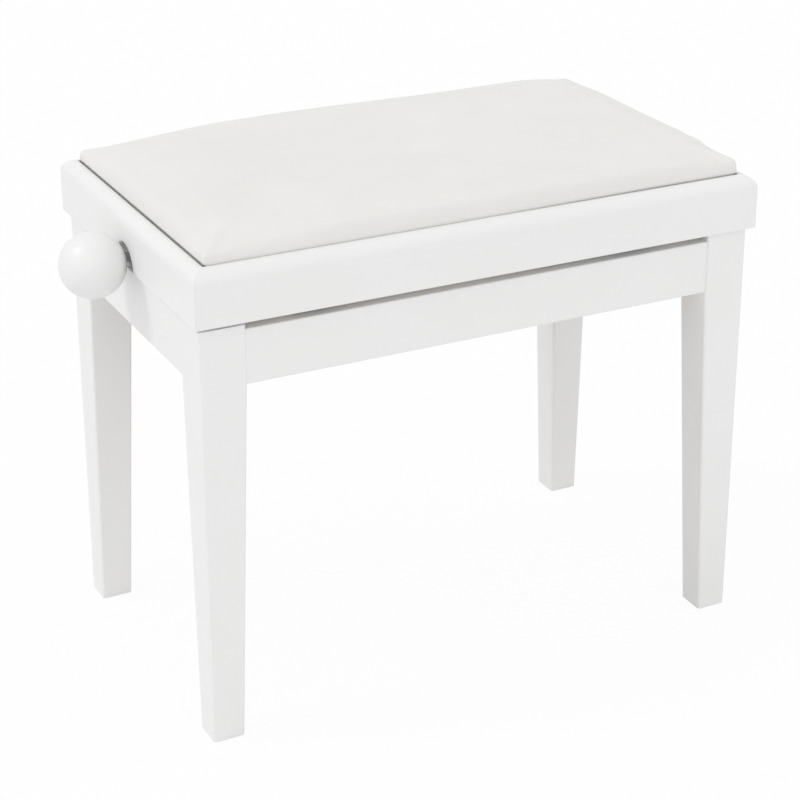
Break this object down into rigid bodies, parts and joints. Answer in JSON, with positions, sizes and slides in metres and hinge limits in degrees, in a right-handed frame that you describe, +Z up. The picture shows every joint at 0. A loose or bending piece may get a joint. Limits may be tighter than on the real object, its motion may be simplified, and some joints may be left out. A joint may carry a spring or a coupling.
{
  "type": "piano bench",
  "caption": "Height-adjustable piano bench: four tapered legs, aprons, and a moulded frame with a padded drop-in seat that rises on a scissor linkage turned by ball knobs on a spindle.",
  "frame": {"origin": "on the floor, under the middle of the bench", "axes": "+Z up; +X to the right along the bench's length and the spindle; -Y towards the long front side"},
  "size_m": [0.6662, 0.33, 0.4713],
  "materials": {
    "lacquer": "satin",
    "leatherette": "satin",
    "foam": "matte",
    "plywood": "matte",
    "beech": "matte",
    "black_steel": "satin",
    "zinc_steel": "satin",
    "brass": "satin"
  },
  "bodies": {
    "base": {"leg_front_left": "lacquer", "corner_block_front_left": "beech", "leg_bolt_front_left": "zinc_steel", "leg_front_right": "lacquer", "corner_block_front_right": "beech", "leg_bolt_front_right": "zinc_steel", "leg_rear_left": "lacquer", "corner_block_rear_left": "beech", "leg_bolt_rear_left": "zinc_steel", "leg_rear_right": "lacquer", "corner_block_rear_right": "beech", "leg_bolt_rear_right": "zinc_steel", "apron_front": "lacquer", "apron_rear": "lacquer", "side_rail_left": "lacquer", "side_rail_right": "lacquer", "mechanism_rail_front": "black_steel", "pivot_stud_front": "zinc_steel", "rail_screw_front_left": "zinc_steel", "rail_screw_front_right": "zinc_steel", "mechanism_rail_rear": "black_steel", "pivot_stud_rear": "zinc_steel", "rail_screw_rear_left": "zinc_steel", "rail_screw_rear_right": "zinc_steel", "bearing_plate_left": "black_steel", "spindle_bush_left": "brass", "plate_screw_left_front": "zinc_steel", "plate_screw_left_rear": "zinc_steel", "bearing_plate_right": "black_steel", "spindle_bush_right": "brass", "plate_screw_right_front": "zinc_steel", "plate_screw_right_rear": "zinc_steel"},
    "seat_top": {"seat_channel_front": "black_steel", "channel_bolt_front_left": "zinc_steel", "channel_bolt_front_right": "zinc_steel", "seat_channel_rear": "black_steel", "channel_bolt_rear_left": "zinc_steel", "channel_bolt_rear_right": "zinc_steel", "pivot_rod": "zinc_steel", "seat_board": "plywood", "pad_foam": "foam", "pad_cover": "leatherette", "moulding_front": "lacquer", "moulding_rear": "lacquer", "moulding_left": "lacquer", "moulding_right": "lacquer"},
    "spindle_set": {"spindle": "zinc_steel", "knob_left": "lacquer", "stop_collar_left": "zinc_steel", "knob_right": "lacquer", "stop_collar_right": "zinc_steel"},
    "lift_arms": {"lift_arm_front": "black_steel", "cross_pin_front": "zinc_steel", "lift_arm_rear": "black_steel", "cross_pin_rear": "zinc_steel", "slide_rod": "zinc_steel"},
    "link_arms": {"link_arm_front": "black_steel", "link_arm_rear": "black_steel"},
    "nut_carrier": {"nut_bar": "black_steel", "spindle_nut": "brass"}
  },
  "joints": [
    {"name": "seat_lift", "type": "slide", "parent": "base", "child": "seat_top", "axis": [0, 0, 1], "range_m": [0, 0.09]},
    {"name": "lift_arm_swing", "type": "hinge", "parent": "base", "child": "lift_arms", "pos_m": [-0.16495, 0, 0.4026], "axis": [0, -1, 0], "range_deg": [0, 16.5]},
    {"name": "link_arm_swing", "type": "hinge", "parent": "seat_top", "child": "link_arms", "pos_m": [-0.16495, 0, 0.4216], "axis": [0, 1, 0], "range_deg": [0, 16.5]},
    {"name": "nut_bar_level", "type": "hinge", "parent": "link_arms", "child": "nut_carrier", "pos_m": [0.16495, 0, 0.4026], "axis": [0, -1, 0], "range_deg": [0, 16.5]},
    {"name": "spindle_turn", "type": "hinge", "parent": "base", "child": "spindle_set", "pos_m": [0, 0, 0.4026], "axis": [1, 0, 0], "range_deg": [0, 1620]}
  ],
  "couplings": [
    {"joint": "lift_arm_swing", "follows": "seat_lift", "rad_per_m": 3.0958},
    {"joint": "link_arm_swing", "follows": "seat_lift", "rad_per_m": 3.0958},
    {"joint": "nut_bar_level", "follows": "seat_lift", "rad_per_m": 3.0958},
    {"joint": "spindle_turn", "follows": "seat_lift", "rad_per_m": 313.26}
  ]
}
